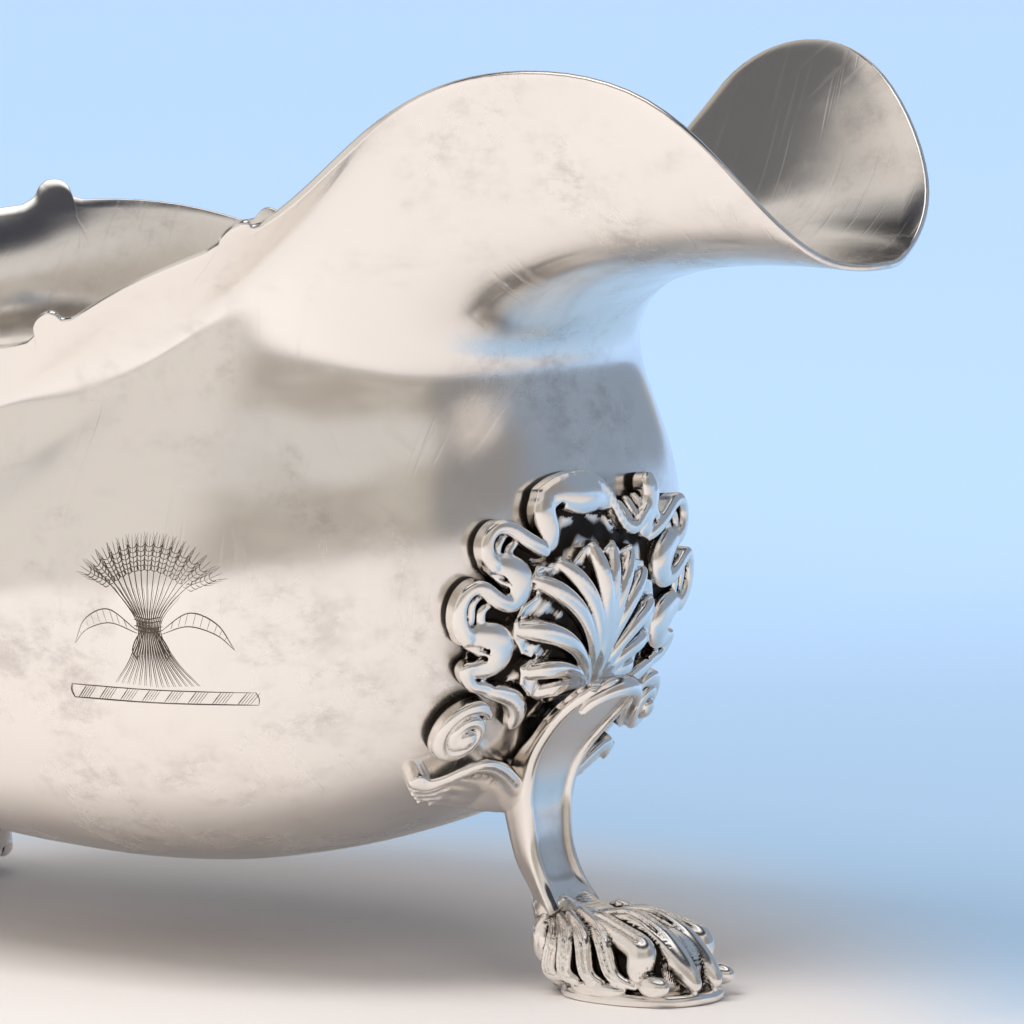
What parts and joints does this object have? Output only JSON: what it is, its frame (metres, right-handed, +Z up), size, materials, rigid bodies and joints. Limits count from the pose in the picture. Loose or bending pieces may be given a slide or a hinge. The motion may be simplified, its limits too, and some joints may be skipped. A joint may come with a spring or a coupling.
{
  "type": "sauce boat",
  "caption": "Oval bellied sauce boat with a broad flared spout, waved cut rim, shell-knee cabriole legs on paw feet and a leaf-capped scroll handle.",
  "frame": {"origin": "centre of the whole boat in plan, on the surface the three soles stand on", "axes": "+X towards the spout, +Y to the boat's left seen from the handle, +Z up"},
  "size_m": [0.2212, 0.1076, 0.1276],
  "materials": {
    "polished_silver": "old hand-polished sterling silver, satin bright with fine scratches",
    "cast_silver": "cast and chased silver, bright on the high points with dark recesses",
    "oxidised_silver": "cast silver with black oxidation in the ground"
  },
  "bodies": {
    "root": {"body": "polished_silver", "front_knee_frame": "oxidised_silver", "front_shell": "cast_silver", "front_shank": "cast_silver", "front_leaf_left": "cast_silver", "front_volute_left": "cast_silver", "front_leaf_right": "cast_silver", "front_volute_right": "cast_silver", "front_paw": "cast_silver", "front_sole": "cast_silver", "rear_left_knee_frame": "oxidised_silver", "rear_left_shell": "cast_silver", "rear_left_shank": "cast_silver", "rear_left_leaf_left": "cast_silver", "rear_left_volute_left": "cast_silver", "rear_left_leaf_right": "cast_silver", "rear_left_volute_right": "cast_silver", "rear_left_paw": "cast_silver", "rear_left_sole": "cast_silver", "rear_right_knee_frame": "oxidised_silver", "rear_right_shell": "cast_silver", "rear_right_shank": "cast_silver", "rear_right_leaf_left": "cast_silver", "rear_right_volute_left": "cast_silver", "rear_right_leaf_right": "cast_silver", "rear_right_volute_right": "cast_silver", "rear_right_paw": "cast_silver", "rear_right_sole": "cast_silver", "handle_upper_scroll": "cast_silver", "handle_lower_scroll": "cast_silver", "handle_spur": "cast_silver", "handle_leaf_cap": "cast_silver", "handle_lower_mount": "cast_silver", "handle_upper_mount": "cast_silver"}
  },
  "joints": []
}
